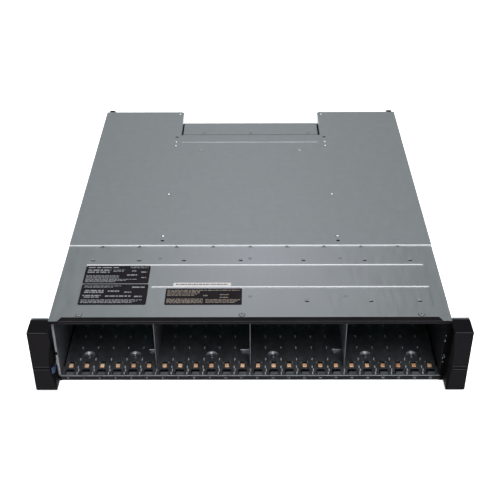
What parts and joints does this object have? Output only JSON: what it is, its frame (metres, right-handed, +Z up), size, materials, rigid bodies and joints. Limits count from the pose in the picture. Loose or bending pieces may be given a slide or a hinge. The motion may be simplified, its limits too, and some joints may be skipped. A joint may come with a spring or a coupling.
{
  "type": "storage array",
  "caption": "Low rack-mount storage enclosure of zinc-plated sheet metal: empty upright drive bays in front, black ears, sliding power supplies and controllers behind.",
  "frame": {"origin": "middle of the bounding box, on the surface that the enclosure stands on", "axes": "+X to the right seen from the front, +Y from the front to the rear, +Z up"},
  "size_m": [0.483, 0.5594, 0.0887],
  "materials": {
    "zinc_steel": "zinc-plated sheet, satin",
    "fastener_steel": "bright zinc",
    "cage_steel": "zinc-plated sheet, brighter than the covers",
    "faceplate_steel": "zinc-plated sheet",
    "port_steel": "tinned sheet",
    "contact_copper": "bare copper alloy",
    "ear_plastic": "fine satin texture",
    "trim_plastic": "matt film",
    "blue_plastic": "satin",
    "circuit_board": "solder mask",
    "connector_plastic": "moulded",
    "fan_plastic": "moulded",
    "handle_plastic": "moulded, satin",
    "latch_plastic": "moulded, satin"
  },
  "bodies": {
    "enclosure": {"bay_contact_springs": "contact_copper", "bay_number_strip": "trim_plastic", "chassis_base": "zinc_steel", "controller_shelf": "zinc_steel", "cover_rivets": "fastener_steel", "cover_screws": "fastener_steel", "drive_cage_ceiling": "cage_steel", "drive_cage_floor": "cage_steel", "drive_connectors": "connector_plastic", "front_top_cover": "zinc_steel", "front_trim_strip": "trim_plastic", "left_bay_divider": "cage_steel", "left_cage_wall": "cage_steel", "left_module_wall": "zinc_steel", "left_rack_flange": "zinc_steel", "left_side_panel": "zinc_steel", "middle_bay_divider": "cage_steel", "midplane_board": "circuit_board", "module_connectors": "connector_plastic", "rear_top_cover": "zinc_steel", "right_bay_divider": "cage_steel", "right_cage_wall": "cage_steel", "right_module_wall": "zinc_steel", "right_rack_flange": "zinc_steel", "right_side_panel": "zinc_steel"},
    "left_supply": {"left_supply_case": "zinc_steel", "left_supply_circuit": "circuit_board", "left_supply_faceplate": "faceplate_steel", "left_supply_inlet": "connector_plastic", "left_supply_fan_frame": "fan_plastic"},
    "left_fan": {"left_supply_fan_rotor": "fan_plastic"},
    "left_rocker": {"left_supply_rocker": "connector_plastic"},
    "left_handle": {"left_supply_handle": "handle_plastic"},
    "left_latch": {"left_supply_latch": "latch_plastic"},
    "right_supply": {"right_supply_case": "zinc_steel", "right_supply_circuit": "circuit_board", "right_supply_faceplate": "faceplate_steel", "right_supply_inlet": "connector_plastic", "right_supply_fan_frame": "fan_plastic"},
    "right_fan": {"right_supply_fan_rotor": "fan_plastic"},
    "right_rocker": {"right_supply_rocker": "connector_plastic"},
    "right_handle": {"right_supply_handle": "handle_plastic"},
    "right_latch": {"right_supply_latch": "latch_plastic"},
    "lower_controller": {"lower_controller_case": "zinc_steel", "lower_controller_circuit": "circuit_board", "lower_controller_faceplate": "faceplate_steel", "lower_controller_ports": "port_steel"},
    "lower_lever": {"lower_controller_lever": "handle_plastic"},
    "upper_controller": {"upper_controller_case": "zinc_steel", "upper_controller_circuit": "circuit_board", "upper_controller_faceplate": "faceplate_steel", "upper_controller_ports": "port_steel"},
    "upper_lever": {"upper_controller_lever": "handle_plastic"},
    "left_ear": {"left_ear_cover": "ear_plastic"},
    "right_ear": {"right_ear_cover": "ear_plastic"},
    "release_button": {"blue_release_button": "blue_plastic"}
  },
  "joints": [
    {"name": "left_supply_slide", "type": "slide", "parent": "enclosure", "child": "left_supply", "axis": [0, 1, 0], "range_m": [0, 0.33]},
    {"name": "left_handle_hinge", "type": "hinge", "parent": "left_supply", "child": "left_handle", "pos_m": [-0.2145, 0.252, 0.013], "axis": [-1, 0, 0], "range_deg": [0, 50]},
    {"name": "left_fan_spin", "type": "hinge", "parent": "left_supply", "child": "left_fan", "pos_m": [-0.1733, 0.2327, 0.0507], "axis": [0, 1, 0], "continuous": true},
    {"name": "left_rocker_tilt", "type": "hinge", "parent": "left_supply", "child": "left_rocker", "pos_m": [-0.1237, 0.2457, 0.0667], "axis": [-1, 0, 0], "range_deg": [0, 20]},
    {"name": "left_latch_squeeze", "type": "slide", "parent": "left_supply", "child": "left_latch", "axis": [-1, 0, 0], "range_m": [0, 0.003], "stiffness_N_per_m": 300},
    {"name": "right_supply_slide", "type": "slide", "parent": "enclosure", "child": "right_supply", "axis": [0, 1, 0], "range_m": [0, 0.33]},
    {"name": "right_handle_hinge", "type": "hinge", "parent": "right_supply", "child": "right_handle", "pos_m": [0.2145, 0.252, 0.013], "axis": [-1, 0, 0], "range_deg": [0, 50]},
    {"name": "right_fan_spin", "type": "hinge", "parent": "right_supply", "child": "right_fan", "pos_m": [0.1733, 0.2327, 0.0507], "axis": [0, 1, 0], "continuous": true},
    {"name": "right_rocker_tilt", "type": "hinge", "parent": "right_supply", "child": "right_rocker", "pos_m": [0.1237, 0.2457, 0.0667], "axis": [-1, 0, 0], "range_deg": [0, 20]},
    {"name": "right_latch_squeeze", "type": "slide", "parent": "right_supply", "child": "right_latch", "axis": [1, 0, 0], "range_m": [0, 0.003], "stiffness_N_per_m": 300},
    {"name": "lower_controller_slide", "type": "slide", "parent": "enclosure", "child": "lower_controller", "axis": [0, 1, 0], "range_m": [0, 0.31]},
    {"name": "lower_lever_hinge", "type": "hinge", "parent": "lower_controller", "child": "lower_lever", "pos_m": [0.0885, 0.234, 0.01975], "axis": [0, 0, -1], "range_deg": [0, 50]},
    {"name": "upper_controller_slide", "type": "slide", "parent": "enclosure", "child": "upper_controller", "axis": [0, 1, 0], "range_m": [0, 0.31]},
    {"name": "upper_lever_hinge", "type": "hinge", "parent": "upper_controller", "child": "upper_lever", "pos_m": [0.0885, 0.234, 0.06175], "axis": [0, 0, -1], "range_deg": [0, 50]},
    {"name": "left_ear_pull", "type": "slide", "parent": "enclosure", "child": "left_ear", "axis": [0, -1, 0], "range_m": [0, 0.03]},
    {"name": "right_ear_pull", "type": "slide", "parent": "enclosure", "child": "right_ear", "axis": [0, -1, 0], "range_m": [0, 0.03]},
    {"name": "button_press", "type": "slide", "parent": "left_ear", "child": "release_button", "axis": [0, 1, 0], "range_m": [0, 0.0015], "stiffness_N_per_m": 600}
  ]
}
